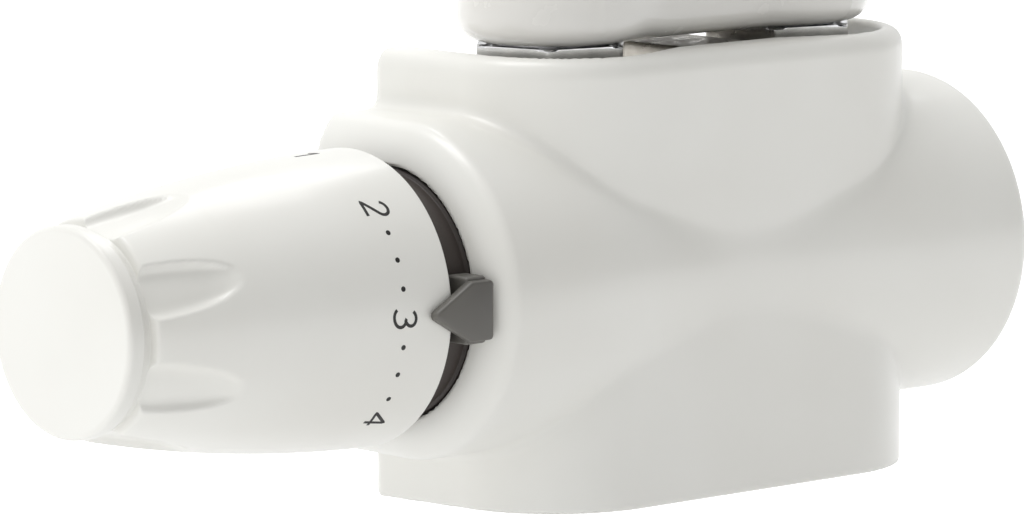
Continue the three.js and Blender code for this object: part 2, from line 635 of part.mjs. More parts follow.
function cover() {
  const low = COVER_BOTTOM - COVER_PAST_WALL;
  const block = solid(new THREE.ExtrudeGeometry(coverPlan(0), {
    depth: COVER_TOP - low - 2 * COVER_EDGE_R,
    curveSegments: 10,
    bevelSize: COVER_EDGE_R,
    bevelThickness: COVER_EDGE_R,
    bevelOffset: -COVER_EDGE_R,
    bevelSegments: 3,
  }).translate(0, 0, low + COVER_EDGE_R));
  const hollow = solid(new THREE.ExtrudeGeometry(coverPlan(COVER_WALL), {
    depth: COVER_TOP - COVER_TOP_PLATE - low + 2,
    curveSegments: 10,
    bevelEnabled: false,
  }).translate(0, 0, low - 2));

  const body = stations(-FLARE_X, FLARE_X, 12).map((x) => [x, flareRadius(x)]);
  const outside = horseshoe([
    [COLLAR_LIP_X, COLLAR_HOLE_R + 0.3], [COLLAR_LIP_X + 0.7, 23], [COLLAR_LIP_X + 1.9, 25.2],
    [COLLAR_LIP_X + 3.9, COLLAR_R], ...body, [COVER_END_X - 2, COLLAR_R], [COVER_END_X - 0.6, COLLAR_R - 0.6],
    [COVER_END_X, COLLAR_R - 2],
  ]);
  const inner = COLLAR_R - COVER_WALL;
  const lining = body.map(([x, radius]) => [x, radius - COVER_WALL]);
  const inside = horseshoe([[COLLAR_INNER_X, inner], ...lining, [COVER_END_X - COVER_WALL, inner]]);
  const headHole = horseshoe([[COLLAR_LIP_X - 1, COLLAR_HOLE_R], [COLLAR_INNER_X + 1, COLLAR_HOLE_R]]);

  const [wide, deep] = [2 * COVER_END_X, 2 * COVER_REAR];
  const wallSide = solid(box(-wide, wide, COVER_REAR, COVER_REAR + deep, -wide, wide));
  const below = solid(box(-wide, wide, -wide, wide, 2 * low, COVER_BOTTOM));
  return cut(join(block, outside), join(hollow, inside), headHole, coverTopHole(), wallSide, below);
}

// A spring clip that grips the room side of the valve block's barrel.
const CLIP_X = 6;
const CLIP_WIDTH = 4;
const CLIP_THICKNESS = 1.2;
const CLIP_REACH = (55 / 180) * Math.PI;
const CLIP_FOOT_HALF = 2;

function coverClip() {
  const inner = BARREL_R + GAP;
  const outer = inner + CLIP_THICKNESS;
  const arc = new THREE.Shape();
  arc.absarc(0, 0, outer, -Math.PI / 2 - CLIP_REACH, -Math.PI / 2 + CLIP_REACH);
  arc.absarc(0, 0, inner, -Math.PI / 2 + CLIP_REACH, -Math.PI / 2 - CLIP_REACH, true);
  arc.closePath();
  const band = new THREE.ExtrudeGeometry(arc, { depth: CLIP_WIDTH, curveSegments: 24, bevelEnabled: false });
  const room = -COVER_FRONT + COVER_WALL + GAP;
  const foot = box(-CLIP_FOOT_HALF, CLIP_FOOT_HALF, room, -outer + 0.5, 0, CLIP_WIDTH);
  const lay = (geometry) => solid(geometry.rotateY(Math.PI / 2).translate(-CLIP_WIDTH / 2, 0, 0));
  return join(lay(band), lay(foot));
}

place("cover", cover(), WHITE_PLASTIC);
for (const [name, side] of SIDES) place(`cover_clip_${name}`, coverClip(), STEEL, side * CLIP_X);

export default assembly;
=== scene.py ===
import json
import math

import bmesh
import bpy
import numpy as np
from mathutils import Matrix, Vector

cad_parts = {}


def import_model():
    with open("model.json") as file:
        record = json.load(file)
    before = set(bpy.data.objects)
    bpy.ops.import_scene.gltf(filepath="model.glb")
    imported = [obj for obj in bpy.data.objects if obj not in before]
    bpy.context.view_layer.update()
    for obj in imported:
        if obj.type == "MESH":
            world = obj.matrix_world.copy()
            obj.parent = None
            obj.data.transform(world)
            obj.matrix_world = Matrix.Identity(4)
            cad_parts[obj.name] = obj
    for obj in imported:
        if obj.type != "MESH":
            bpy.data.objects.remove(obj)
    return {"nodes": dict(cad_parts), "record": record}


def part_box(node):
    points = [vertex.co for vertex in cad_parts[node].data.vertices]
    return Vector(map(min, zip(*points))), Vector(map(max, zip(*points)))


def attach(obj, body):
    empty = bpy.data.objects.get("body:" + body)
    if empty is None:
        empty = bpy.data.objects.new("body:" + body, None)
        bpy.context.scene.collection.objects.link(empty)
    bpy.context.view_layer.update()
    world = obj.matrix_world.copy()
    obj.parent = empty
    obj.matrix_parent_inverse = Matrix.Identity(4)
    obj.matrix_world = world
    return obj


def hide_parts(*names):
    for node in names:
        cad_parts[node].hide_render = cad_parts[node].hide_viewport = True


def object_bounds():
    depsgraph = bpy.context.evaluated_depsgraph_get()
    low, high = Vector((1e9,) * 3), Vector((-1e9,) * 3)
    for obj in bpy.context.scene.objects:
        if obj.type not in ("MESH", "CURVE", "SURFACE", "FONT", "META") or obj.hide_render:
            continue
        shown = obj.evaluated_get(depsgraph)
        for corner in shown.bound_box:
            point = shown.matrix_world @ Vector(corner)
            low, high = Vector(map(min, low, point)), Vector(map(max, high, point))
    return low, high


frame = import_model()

cad_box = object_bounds()

# ---- frame ----
# Everything below is in millimetres, from the point where the head's axis meets the valve's middle plane.

MM = 0.001
wheel_low, wheel_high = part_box("handwheel")
ORIGIN = np.array((0.0, 0.0, (wheel_low.z + wheel_high.z) / 2 / MM))


def extent(node):
    """Lowest and highest corner of a CAD node."""
    low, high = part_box(node)
    return np.array(low) / MM - ORIGIN, np.array(high) / MM - ORIGIN


def half_height(node):
    low, high = extent(node)
    return (high[2] - low[2]) / 2


# ---- sizes read from the frame ----

CROWN_X = extent("handwheel")[0][0]
SKIRT_X = extent("handwheel")[1][0]
SKIRT_R = half_height("handwheel")
CAP_X = extent("end_cap")[0][0]
CAP_BACK_X = extent("end_cap")[1][0]
CAP_R = half_height("end_cap")
BASE_END_X = extent("head_base")[0][0]
BASE_R = half_height("head_base")
NUT_X = extent("head_nut")[0][0]
NUT_END_X = extent("head_nut")[1][0]
HEAD_NUT_R = half_height("head_nut")
POINTER_LOW, POINTER_HIGH = extent("setting_pointer")
COVER_LOW, COVER_HIGH = extent("cover")
COLLAR_R = -COVER_LOW[1]
STUB_LOW, STUB_HIGH = extent("radiator_stub")
COLUMN_R = STUB_HIGH[1]
PORT_X = STUB_HIGH[0] - COLUMN_R
BLOCK_LOW, BLOCK_HIGH = extent("valve_block")
SHUTOFF_LOW, SHUTOFF_HIGH = extent("shutoff_cap")
SHUTOFF_CAP_R = half_height("shutoff_cap")

# ---- sizes of shapes inside those boxes ----

COVER_FRONT = 20.6
COVER_CORNER_R = 20.2
COVER_TAPER = 0.103  # how much each side leans out towards the wall
COVER_WALL = 2.4
COVER_TOP_PLATE = 3.0
COVER_TOP_ROUND = 3.4
COVER_EDGE = 0.8
WAIST_R = 21.0
FLARE_X = 50.0
COLLAR_HOLE_R = 20.0
COLLAR_EDGE = 1.3
COLLAR_FAR_EDGE = 2.6
COLLAR_END_WALL = 4.6
HEAD_HOLE_DEPTH = 6.0
COLLAR_BLEND = 0.8  # fillet between block and collars at the waist
COLLAR_BLEND_MORE = 2.2  # added to it towards the flared ends
LIP_SETBACK, LIP_SLOPE, LIP_CURVE, LIP_REAR = 0.1, 0.18, 0.06, 0.5
TOP_LOBE_R = 15.6
TOP_LOBE_Y = -1.5
TOP_WEB_Y = -13.0
TOP_HOLE_Z = 28.0
TOP_HOLE_BLEND = 5.0
TOP_HOLE_EDGE = 1.4
WEB_HALF = 12.5
WEB_BLEND = 4.0
STUB_ROUND = 4.6
STUB_CUT_EDGE = 0.4
CHANNEL_R = 8.5
CHANNEL_EDGE = 0.5
PORT_THREAD_R = 10.8
PORT_THREAD_DEPTH = 15.0
PORT_EDGE = 0.6
CLIP_R = 13.3
CLIP_THICKNESS = 1.2
CLIP_HALF_WIDTH = 2.0
CLIP_REACH = math.radians(55)
CLIP_EDGE = 0.3
CROWN_R = 16.5
WHEEL_BULGE = 5.8
WHEEL_WALL = 2.2
WHEEL_HOLE_R = 9.8
WHEEL_RIB_R = 16.9
WHEEL_RIB_FAR_X, WHEEL_RIB_NEAR_X = -88.0, -84.0
NECK_RING_R = 15.4
NECK_RING_END_X = CROWN_X + 1.3
FLUTES = 7
FLUTE_LENGTH = 15.8
FLUTE_HALF_ANGLE = math.radians(14.6)
CAP_STEM_R = 9.4
CAP_DOME = 0.3
CAP_SEAT_X = CROWN_X - 0.12
SCALE_X = SKIRT_X - 9.4
SCALE_STEP = math.radians(45)
NUMERAL_STROKE = 0.26  # half the width of a numeral's line
DOT_R = 0.42
INK_LIFT, INK_ROOT = 0.025, -0.1  # top and bottom of a mark, from the wheel's surface

# ---- meshing ----

ARC_STEP = math.radians(13)
SUPPORT = 0.2  # distance of a support point past the end of a fillet
CELL = 0.8


def soft_min(a, b, blend):
    """The smaller of two fields, with the seam between them filleted over the blend length."""
    overlap = np.maximum(blend - np.abs(a - b), 0) / blend
    return np.minimum(a, b) - overlap * overlap * blend / 4


def soft_max(a, b, blend):
    return -soft_min(-a, -b, blend)


def smooth_step(low, high, value):
    t = np.clip((value - low) / (high - low), 0, 1)
    return t * t * (3 - 2 * t)


def rounded(corners, closed=True):
    """An outline of (across, up, fillet) corners with each fillet as an arc between two support points."""
    outline = []
    for i, (across, up, fillet) in enumerate(corners):
        here = np.array((across, up), float)
        if fillet == 0 or (not closed and i in (0, len(corners) - 1)):
            outline.append(here)
            continue
        back = np.array(corners[i - 1][:2], float) - here
        ahead = np.array(corners[(i + 1) % len(corners)][:2], float) - here
        back_length, ahead_length = np.linalg.norm(back), np.linalg.norm(ahead)
        back, ahead = back / back_length, ahead / ahead_length
        half = math.acos(np.clip(back @ ahead, -1, 1)) / 2
        turn = math.pi - 2 * half
        if turn < ARC_STEP / 4:
            outline.append(here)
            continue
        reach = min(fillet / math.tan(half), 0.45 * back_length, 0.45 * ahead_length)
        middle = (back + ahead) / np.linalg.norm(back + ahead)
        centre = here + middle * reach / math.cos(half)
        start, end = here + back * reach - centre, here + ahead * reach - centre
        outline.append(here + back * (reach + min(SUPPORT, 0.05 * back_length)))
        steps = max(3, math.ceil(turn / ARC_STEP))
        for k in range(steps + 1):
            t = k / steps
            swing = math.sin((1 - t) * turn) * start + math.sin(t * turn) * end
            outline.append(centre + swing / math.sin(turn))
        outline.append(here + ahead * (reach + min(SUPPORT, 0.05 * ahead_length)))
    return np.array(outline)


def turned_points(axis, height, radius, angle):
    """Points at a height along an axis, a radius from it and an angle round it.

    Round X the angle is 0 at the front and grows towards the top.
    """
    cos, sin = radius * np.cos(angle), radius * np.sin(angle)
    if axis == "x":
        return np.stack((height, -cos, sin), -1)
    if axis == "y":
        return np.stack((cos, height, sin), -1)
    return np.stack((cos, sin, height), -1)


def grid_faces(rows, columns, closed_rows):
    """Quads between neighbouring points of a grid whose columns run all the way round."""
    i, j = np.meshgrid(np.arange(rows if closed_rows else rows - 1), np.arange(columns), indexing="ij")
    i_next, j_next = (i + 1) % rows, (j + 1) % columns
    quads = (i * columns + j, i * columns + j_next, i_next * columns + j_next, i_next * columns + j)
    return np.stack(quads, -1).reshape(-1, 4)


def turned(corners, sides=96, axis="x", centre=(0, 0, 0), shape=None):
    """A profile turned about an axis. shape(height, radius, angle) may change the radius round the turn.

    A profile that starts off the axis is closed into a ring; one that starts on it ends on it.
    """
    closed = corners[0][1] > 0
    outline = rounded(corners, closed)
    angle = np.arange(sides) * 2 * math.pi / sides + np.zeros((len(outline), 1))
    height = outline[:, :1] + np.zeros(sides)
    radius = outline[:, 1:2] + np.zeros(sides)
    if shape:
        radius = shape(height, radius, angle)
    points = turned_points(axis, height, radius, angle).reshape(-1, 3) + np.array(centre)
    return points, grid_faces(len(outline), sides, closed)


def surface_net(field, low, high, cell=CELL):
    """The zero surface of a field as quads, with every point moved onto the surface and the true normals.

    One point goes in each cell the surface crosses, and one quad over each crossed grid edge.
    """
    axes = [np.arange(a - 1.5 * cell, b + 2.5 * cell, cell) for a, b in zip(low, high)]
    grid = np.stack(np.meshgrid(*axes, indexing="ij"), -1)
    value = field(*np.moveaxis(grid, -1, 0))
    cells = np.array(value.shape) - 1
    total, hits = np.zeros((*cells, 3)), np.zeros(cells)
    crossings = []
    for d in range(3):
        near = [slice(None)] * 3
        far = [slice(None)] * 3
        near[d], far[d] = slice(None, -1), slice(1, None)
        a, b = value[tuple(near)], value[tuple(far)]
        crossed = (a < 0) != (b < 0)
        share = np.where(crossed, a / np.where(crossed, a - b, 1), 0)
        where = grid[tuple(near)].copy()
        where[..., d] += share * cell
        others = [k for k in range(3) if k != d]
        for shift_a in (0, 1):
            for shift_b in (0, 1):
                window = [slice(None)] * 3
                window[others[0]] = slice(shift_a, cells[others[0]] + shift_a)
                window[others[1]] = slice(shift_b, cells[others[1]] + shift_b)
                hits += crossed[tuple(window)]
                total += where[tuple(window)] * crossed[tuple(window)][..., None]
        crossings.append((crossed, a < 0, others))
    index = -np.ones(cells, int)
    used = hits > 0
    index[used] = np.arange(used.sum())
    points = total[used] / hits[used][:, None]

    quads = []
    for d, (crossed, inside, others) in enumerate(crossings):
        window = [slice(None)] * 3
        for k in others:
            window[k] = slice(1, -1)
        at = np.argwhere(crossed[tuple(window)])
        at[:, others] += 1
        corners = []
        for shift_a, shift_b in ((1, 1), (0, 1), (0, 0), (1, 0)):
            cell_at = at.copy()
            cell_at[:, others[0]] -= shift_a
            cell_at[:, others[1]] -= shift_b
            corners.append(index[tuple(cell_at.T)])
        quad = np.stack(corners, -1)
        flip = inside[tuple(at.T)] == (d == 1)
        quad[flip] = quad[flip][:, ::-1]
        quads.append(quad)
    quads = np.concatenate(quads)

    for _ in range(3):
        points = onto_surface(field, relaxed(points, quads))
    return points, quads, gradient(field, points)


def gradient(field, points, step=0.02):
    """The field's unit slope at each point."""
    shifts = np.eye(3) * step
    parts = [field(*(points + s).T) - field(*(points - s).T) for s in shifts]
    slope = np.stack(parts, -1) / (2 * step)
    return slope / np.maximum(np.linalg.norm(slope, axis=1, keepdims=True), 1e-6)


def onto_surface(field, points, rounds=3):
    """Points moved along the slope until the field is zero there."""
    for _ in range(rounds):
        shift = np.clip(field(*points.T), -0.3, 0.3)
        points = points - gradient(field, points) * shift[:, None]
    return points


def relaxed(points, quads, share=0.5):
    """Each point moved part of the way to the middle of its neighbours."""
    total, count = np.zeros_like(points), np.zeros(len(points))
    for k in range(4):
        a, b = quads[:, k], quads[:, (k + 1) % 4]
        for here, there in ((a, b), (b, a)):
            np.add.at(total, here, points[there])
            np.add.at(count, here, 1)
    return points + share * (total / count[:, None] - points)


def joined(*parts):
    """Several (points, faces) parts as one."""
    points, faces, start = [], [], 0
    for part_points, part_faces in parts:
        points.append(np.asarray(part_points))
        faces += [[int(v) + start for v in face] for face in part_faces]
        start += len(part_points)
    return np.concatenate(points), faces


# ---- materials ----

RANGE_INPUTS = ("From Min", "From Max", "To Min", "To Max")


class Nodes:
    """A small wrapper for wiring a material's nodes."""

    def __init__(self, name):
        self.material = bpy.data.materials.new(name)
        self.material.use_nodes = True
        self.tree = self.material.node_tree
        self.shader = self.tree.nodes["Principled BSDF"]
        self.place = self.add("ShaderNodeTexCoord").outputs["Object"]

    def add(self, kind, **settings):
        node = self.tree.nodes.new(kind)
        for key, value in settings.items():
            setattr(node, key, value)
        return node

    def link(self, source, target):
        self.tree.links.new(source, target)

    def noise(self, size_mm, detail=3.0, stretch=(1, 1, 1), roughness=0.5):
        """Noise whose features are about size_mm across."""
        mapping = self.add("ShaderNodeMapping")
        mapping.inputs["Scale"].default_value = [s / (size_mm * MM) for s in stretch]
        self.link(self.place, mapping.inputs["Vector"])
        noise = self.add("ShaderNodeTexNoise")
        noise.inputs["Scale"].default_value = 1.0
        noise.inputs["Detail"].default_value = detail
        noise.inputs["Roughness"].default_value = roughness
        self.link(mapping.outputs["Vector"], noise.inputs["Vector"])
        return noise.outputs["Fac"]

    def spread(self, value, low, high, from_low=0.3, from_high=0.7):
        """A value carried from one range to another."""
        remap = self.add("ShaderNodeMapRange")
        self.link(value, remap.inputs["Value"])
        for key, number in zip(RANGE_INPUTS, (from_low, from_high, low, high)):
            remap.inputs[key].default_value = number
        return remap.outputs["Result"]

    def tint(self, value, dark, light):
        """A colour between two tones."""
        ramp = self.add("ShaderNodeValToRGB")
        ramp.color_ramp.elements[0].color = (*dark, 1)
        ramp.color_ramp.elements[0].position = 0.3
        ramp.color_ramp.elements[1].color = (*light, 1)
        ramp.color_ramp.elements[1].position = 0.7
        self.link(value, ramp.inputs["Fac"])
        return ramp.outputs["Color"]

    def bump(self, height, depth_mm, strength=1.0, onto=None):
        bump = self.add("ShaderNodeBump")
        bump.inputs["Strength"].default_value = strength
        bump.inputs["Distance"].default_value = depth_mm * MM
        self.link(height, bump.inputs["Height"])
        if onto:
            self.link(onto, bump.inputs["Normal"])
        return bump.outputs["Normal"]


def moulded(name, dark, light, roughness, grain_mm, grain_depth_mm, wave_depth_mm, coat=0.0):
    """Moulded plastic or enamel: faint shade changes, uneven gloss, a fine grain over slow waves."""
    nodes = Nodes(name)
    surface = nodes.shader.inputs
    nodes.link(nodes.tint(nodes.noise(38, 2), dark, light), surface["Base Color"])
    gloss = nodes.spread(nodes.noise(6, 4), roughness - 0.04, roughness + 0.05)
    nodes.link(gloss, surface["Roughness"])
    waves = nodes.bump(nodes.noise(7, 2), wave_depth_mm, 0.6)
    grain = nodes.bump(nodes.noise(grain_mm, 4), grain_depth_mm, 0.5, waves)
    nodes.link(grain, surface["Normal"])
    surface["Coat Weight"].default_value = coat
    surface["Coat Roughness"].default_value = 0.08
    return nodes.material


def metal(name, dark, light, roughness, grain_mm, depth_mm, stretch=(1, 1, 1)):
    """Bare metal: stained tone, uneven polish and tool marks or casting grain."""
    nodes = Nodes(name)
    surface = nodes.shader.inputs
    surface["Metallic"].default_value = 1.0
    nodes.link(nodes.tint(nodes.noise(4, 5), dark, light), surface["Base Color"])
    polish = nodes.spread(nodes.noise(1.6, 4), roughness * 0.7, roughness * 1.4)
    nodes.link(polish, surface["Roughness"])
    marks = nodes.bump(nodes.noise(grain_mm, 3, stretch), depth_mm, 0.6)
    nodes.link(nodes.bump(nodes.noise(2.5, 3), 0.02, 0.4, marks), surface["Normal"])
    return nodes.material


TURNED_ON_X = (1, 0.03, 0.03)  # noise stretched round the X axis, as a lathe leaves it
TURNED_ON_Z = (0.03, 0.03, 1)

LOOKS = {
    "enamel": moulded("enamel", (0.68, 0.665, 0.63), (0.72, 0.71, 0.675),
                      0.24, 1.1, 0.006, 0.03, coat=0.35),
    "white_plastic": moulded("white_plastic", (0.775, 0.765, 0.72), (0.815, 0.81, 0.77),
                             0.34, 0.35, 0.004, 0.015, coat=0.12),
    "dark_plastic": moulded("dark_plastic", (0.04, 0.032, 0.028), (0.07, 0.057, 0.05),
                            0.5, 0.5, 0.03, 0.02),
    "grey_plastic": moulded("grey_plastic", (0.105, 0.10, 0.09), (0.165, 0.158, 0.14),
                            0.42, 0.45, 0.02, 0.02),
    "chrome": metal("chrome", (0.62, 0.62, 0.63), (0.80, 0.80, 0.80), 0.10, 0.5, 0.004, TURNED_ON_Z),
    "nickel": metal("nickel", (0.46, 0.43, 0.38), (0.62, 0.59, 0.53), 0.34, 0.5, 0.05),
    "brass": metal("brass", (0.50, 0.34, 0.13), (0.66, 0.47, 0.20), 0.28, 0.4, 0.008, TURNED_ON_X),
    "steel": metal("steel", (0.40, 0.40, 0.41), (0.56, 0.56, 0.57), 0.26, 0.4, 0.006, TURNED_ON_X),
    "copper": metal("copper", (0.52, 0.25, 0.13), (0.72, 0.38, 0.22), 0.30, 0.6, 0.01, TURNED_ON_X),
    "rubber": moulded("rubber", (0.012, 0.012, 0.012), (0.028, 0.027, 0.026),
                      0.62, 0.4, 0.03, 0.04),
}


def add_piece(name, points, faces, body, look, replaced=(), normals=None, material=None):
    """A mesh piece in the frame, riding on its body; without normals its seams are closed, faces outwards."""
    mesh = bpy.data.meshes.new(name)
    mesh.from_pydata(((points + ORIGIN) * MM).tolist(), [], [list(map(int, face)) for face in faces])
    if normals is None:
        work = bmesh.new()
        work.from_mesh(mesh)
        bmesh.ops.remove_doubles(work, verts=work.verts, dist=1e-7)
        bmesh.ops.recalc_face_normals(work, faces=work.faces)
        work.to_mesh(mesh)
        work.free()
    mesh.shade_smooth()
    if normals is not None:
        mesh.normals_split_custom_set_from_vertices(normals.tolist())
    mesh.materials.append(material or LOOKS[look])
    piece = bpy.data.objects.new(name, mesh)
    bpy.context.scene.collection.objects.link(piece)
    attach(piece, body)
    if replaced:
        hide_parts(*replaced)
    return piece


# ---- radiator stub ----


def stub_field(x, y, z):
    from_column = np.hypot(np.abs(x) - PORT_X, y)
    web = np.maximum(np.abs(y) - WEB_HALF, np.abs(x) - PORT_X)
    body = soft_min(from_column - COLUMN_R, web, WEB_BLEND)
    body = soft_max(body, STUB_LOW[2] - z, STUB_ROUND)
    body = soft_max(body, z - STUB_HIGH[2], STUB_CUT_EDGE)
    body = soft_max(body, CHANNEL_R - from_column, CHANNEL_EDGE)
    thread = np.maximum(from_column - PORT_THREAD_R, z - STUB_LOW[2] - PORT_THREAD_DEPTH)
    return soft_max(body, -thread, PORT_EDGE)


points, quads, normals = surface_net(stub_field, STUB_LOW, STUB_HIGH)
add_piece("radiator_column_end", points, quads, "valve", "enamel", ["radiator_stub"], normals)

# ---- cover ----


def cover_plan(x, y):
    """Distance from the cover's outline seen from above."""
    centre_y = COVER_CORNER_R - COVER_FRONT
    narrowed = np.abs(x) - COVER_TAPER * np.maximum(y - centre_y, 0)
    return np.hypot(np.maximum(narrowed - PORT_X, 0), np.minimum(y - centre_y, 0)) - COVER_CORNER_R


def flare_radius(x):
    along = np.minimum(np.abs(x) / FLARE_X, 1)
    return WAIST_R + (COLLAR_R - WAIST_R) * (1 - np.cos(math.pi * along)) / 2


def collar_radius(y, z):
    """Distance from the head's axis in front of it; behind it the collars run straight to the wall."""
    return np.where(y < 0, np.hypot(y, z), np.abs(z))


def cover_outside(x, y, z):
    """The rounded block and the two collars; the left collar's end face slopes back from its hole."""
    radius = collar_radius(y, z)
    block = soft_max(cover_plan(x, y), z - COVER_HIGH[2], COVER_TOP_ROUND)
    beyond = np.maximum(radius - COLLAR_HOLE_R, 0)
    lip = COVER_LOW[0] + LIP_SETBACK + LIP_SLOPE * beyond + LIP_CURVE * beyond ** 2
    lip = lip + LIP_REAR * smooth_step(-4, 12, y) - x
    collars = soft_max(radius - flare_radius(x), lip, COLLAR_EDGE)
    collars = soft_max(collars, x - COVER_HIGH[0], COLLAR_FAR_EDGE)
    return soft_min(block, collars, COLLAR_BLEND + COLLAR_BLEND_MORE * smooth_step(32, 50, np.abs(x)))


def cover_inside(x, y, z):
    radius = collar_radius(y, z)
    block = np.maximum(cover_plan(x, y) + COVER_WALL, z - COVER_HIGH[2] + COVER_TOP_PLATE)
    collars = np.maximum(radius - flare_radius(x) + COVER_WALL, COVER_LOW[0] + COLLAR_END_WALL - x)
    collars = np.maximum(collars, x - COVER_HIGH[0] + COVER_WALL)
    return soft_min(block, collars, 1.5)


def cover_field(x, y, z):
    shell = soft_max(cover_outside(x, y, z), -cover_inside(x, y, z), COVER_EDGE)
    head_hole = np.maximum(collar_radius(y, z) - COLLAR_HOLE_R, x - COVER_LOW[0] - HEAD_HOLE_DEPTH)
    shell = soft_max(shell, -head_hole, 0.6)
    lobes = np.hypot(np.abs(x) - PORT_X, np.minimum(y - TOP_LOBE_Y, 0)) - TOP_LOBE_R
    web = np.maximum(TOP_WEB_Y - y, np.abs(x) - PORT_X)
    top_hole = np.maximum(soft_min(lobes, web, TOP_HOLE_BLEND), TOP_HOLE_Z - z)
    shell = soft_max(shell, -top_hole, TOP_HOLE_EDGE)
    shell = soft_max(shell, y - COVER_HIGH[1], COVER_EDGE)
    return soft_max(shell, COVER_LOW[2] - z, COVER_EDGE)


points, quads, normals = surface_net(cover_field, COVER_LOW, COVER_HIGH)
add_piece("cover_shell", points, quads, "cover", "white_plastic", ["cover"], normals)


def cover_clip(name, steps=40):
    """A sprung steel band that grips the valve's barrel, with a foot on the cover's inside."""
    low, high = extent(name)
    outer_r = CLIP_R + CLIP_THICKNESS
    section = rounded([(-CLIP_HALF_WIDTH, CLIP_R, CLIP_EDGE), (-CLIP_HALF_WIDTH, outer_r, CLIP_EDGE),
                       (CLIP_HALF_WIDTH, outer_r, CLIP_EDGE), (CLIP_HALF_WIDTH, CLIP_R, CLIP_EDGE)])
    angles = np.linspace(-CLIP_REACH, CLIP_REACH, steps)
    points = np.concatenate([turned_points("x", section[:, 0], section[:, 1], a) for a in angles])
    ring = len(section)
    faces = grid_faces(steps, ring, False).tolist()
    faces += [list(range(ring)), list(range((steps - 1) * ring, steps * ring))]
    foot_top = -CLIP_R - CLIP_THICKNESS / 2
    foot = block_points(-CLIP_HALF_WIDTH, CLIP_HALF_WIDTH, low[1], foot_top, -2, 2, CLIP_EDGE)
    points, faces = joined((points, faces), foot)
    add_piece(name + "_spring", points + ((low[0] + high[0]) / 2, 0, 0), faces, "cover", "steel", [name])


def block_points(x0, x1, y0, y1, z0, z1, edge):
    """A box with rounded vertical edges and softened ends, as rings stacked along Y."""
    outline = rounded([(x0, z0, edge), (x1, z0, edge), (x1, z1, edge), (x0, z1, edge)])
    return stacked(outline, [(y0, edge), (y0 + edge * 0.3, edge * 0.3), (y0 + edge, 0),
                             (y1 - edge, 0), (y1 - edge * 0.3, edge * 0.3), (y1, edge)])


def stacked(outline, levels):
    """A closed (x, z) outline repeated at each (y, inset) level, with both ends filled."""
    count = len(outline)
    ahead, back = np.roll(outline, -1, 0), np.roll(outline, 1, 0)
    along = ahead - back
    along /= np.linalg.norm(along, axis=1, keepdims=True)
    area = np.sum(outline[:, 0] * ahead[:, 1] - ahead[:, 0] * outline[:, 1])
    inward = np.stack((-along[:, 1], along[:, 0]), -1) * np.sign(area)
    rings = []
    for y, inset in levels:
        ring = outline + inward * inset
        rings.append(np.stack((ring[:, 0], np.full(count, y), ring[:, 1]), -1))
    faces = grid_faces(len(levels), count, False).tolist()
    faces += [list(range(count)), list(range((len(levels) - 1) * count, len(levels) * count))]
    return np.concatenate(rings), faces


cover_clip("cover_clip_left")
cover_clip("cover_clip_right")

# ---- thermostatic head ----


def wheel_radius(x):
    """The wheel's outer radius, a cone from crown to skirt that bulges between them."""
    along = (x - CROWN_X) / (SKIRT_X - CROWN_X)
    return CROWN_R + (SKIRT_R - CROWN_R) * along + WHEEL_BULGE * along * (1 - along)


def fluted(height, radius, angle):
    """The wheel's outer surface with its flutes pressed in; other surfaces keep their radius."""
    step = 2 * math.pi / FLUTES
    from_middle = np.abs(angle % step - step / 2)
    along = np.clip((height - NECK_RING_END_X) / FLUTE_LENGTH, 0, 1)
    outer = wheel_radius(height)
    end_radius = wheel_radius(NECK_RING_END_X + FLUTE_LENGTH)
    rise = end_radius - NECK_RING_R
    floor = NECK_RING_R + rise * (0.66 * along + 0.34 * along ** 5)
    half_width = FLUTE_HALF_ANGLE * np.sqrt(np.maximum(1 - along ** 1.7, 1e-6))
    trough = soft_max(1 - (from_middle / half_width) ** 6, 0 * angle, 0.08)
    groove = outer - np.maximum(outer - floor, 0) * trough
    on_outside = (radius > outer - 1.3) & (height > CROWN_X + 0.05) & (along < 1)
    return np.where(on_outside, soft_min(radius, groove, 0.12), radius)


def handwheel():
    """The fluted wheel, hollow towards the valve, with one rib inside."""
    def outer(x):
        return (x, wheel_radius(x), 0)

    def inner(x, fillet=0):
        return (x, wheel_radius(x) - WHEEL_WALL, fillet)

    wall_x, rib_far, rib_near = CROWN_X + 2.8, WHEEL_RIB_FAR_X, WHEEL_RIB_NEAR_X
    side = [outer(x) for x in np.linspace(CROWN_X + 3.2, SKIRT_X - 1.2, 76)]
    inner_near = [inner(x) for x in np.linspace(SKIRT_X - 1, rib_near + 1, 8)]
    inner_far = [inner(x) for x in np.linspace(rib_far - 1, wall_x + 1.5, 16)]
    shoulder_x = NECK_RING_END_X + 0.1
    corners = [(CROWN_X, WHEEL_HOLE_R, 0.2), (CROWN_X, NECK_RING_R, 0.25), (shoulder_x, NECK_RING_R, 0.3),
               (shoulder_x + 0.5, wheel_radius(shoulder_x + 0.5) - 0.1, 0.9), *side,
               (SKIRT_X, SKIRT_R, 0.5), (SKIRT_X, SKIRT_R - WHEEL_WALL, 0.4), *inner_near,
               inner(rib_near, 0.5), (rib_near, WHEEL_RIB_R, 0.3), (rib_far, WHEEL_RIB_R, 0.3),
               inner(rib_far, 0.5), *inner_far,
               inner(wall_x, 0.5), (wall_x, WHEEL_HOLE_R, 0.2)]
    points, faces = turned(corners, 48 * FLUTES, shape=fluted)
    add_piece("fluted_wheel", points, faces, "handwheel", "white_plastic", ["handwheel"])


